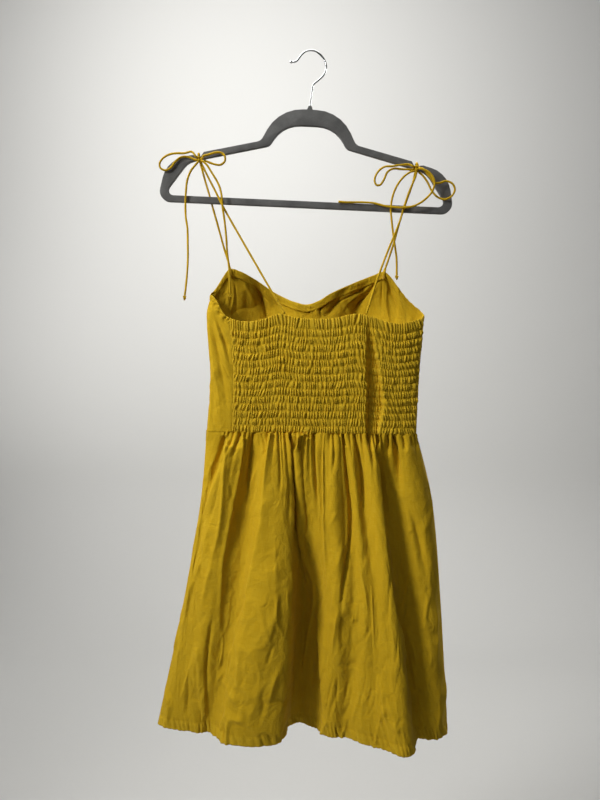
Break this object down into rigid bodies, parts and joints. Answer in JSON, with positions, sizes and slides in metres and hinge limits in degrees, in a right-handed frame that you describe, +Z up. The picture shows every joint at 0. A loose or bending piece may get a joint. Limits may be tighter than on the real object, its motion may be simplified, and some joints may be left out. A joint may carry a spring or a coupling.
{
  "type": "mini dress on a hanger",
  "caption": "Sleeveless mini dress with a shirred back, sweetheart cups, gathered skirt and tied cord straps, hung flat on a notched hanger with a wire hook",
  "frame": {"origin": "the top of the hook's inside, the spot that rests on the peg, rail or nail that holds the hanger", "axes": "+Z up, +X to the right of someone who looks at the dress's back, +Y from the dress's back to its front"},
  "size_m": [0.4574, 0.1212, 1.0386],
  "materials": {
    "cotton": "plain-weave cotton, slightly slubby and creased",
    "flock": "grey velvet flocking over a moulded frame",
    "chrome": "polished chrome-plated steel wire"
  },
  "bodies": {
    "root": {"back_smocked": "cotton", "side_panel_left": "cotton", "side_panel_right": "cotton", "cup_outer_left": "cotton", "cup_inner_left": "cotton", "cup_inner_right": "cotton", "cup_outer_right": "cotton", "facing_outer_left": "cotton", "facing_inner_left": "cotton", "facing_inner_right": "cotton", "facing_outer_right": "cotton", "midriff_front": "cotton", "skirt_back": "cotton", "skirt_front": "cotton", "strap_front_left": "cotton", "strap_back_left": "cotton", "strap_front_right": "cotton", "strap_back_right": "cotton", "loop_outer_left": "cotton", "loop_inner_left": "cotton", "loop_inner_right": "cotton", "loop_outer_right": "cotton", "tail_long_left": "cotton", "tail_inner_left": "cotton", "tail_hanging_right": "cotton", "tail_bare_right": "cotton", "bow_knot_left": "cotton", "bow_knot_right": "cotton", "end_knot_left_outer": "cotton", "end_knot_left_inner": "cotton", "end_knot_right": "cotton", "hanger_frame": "flock", "hanger_hook": "chrome", "hook_tip": "chrome"}
  },
  "joints": []
}
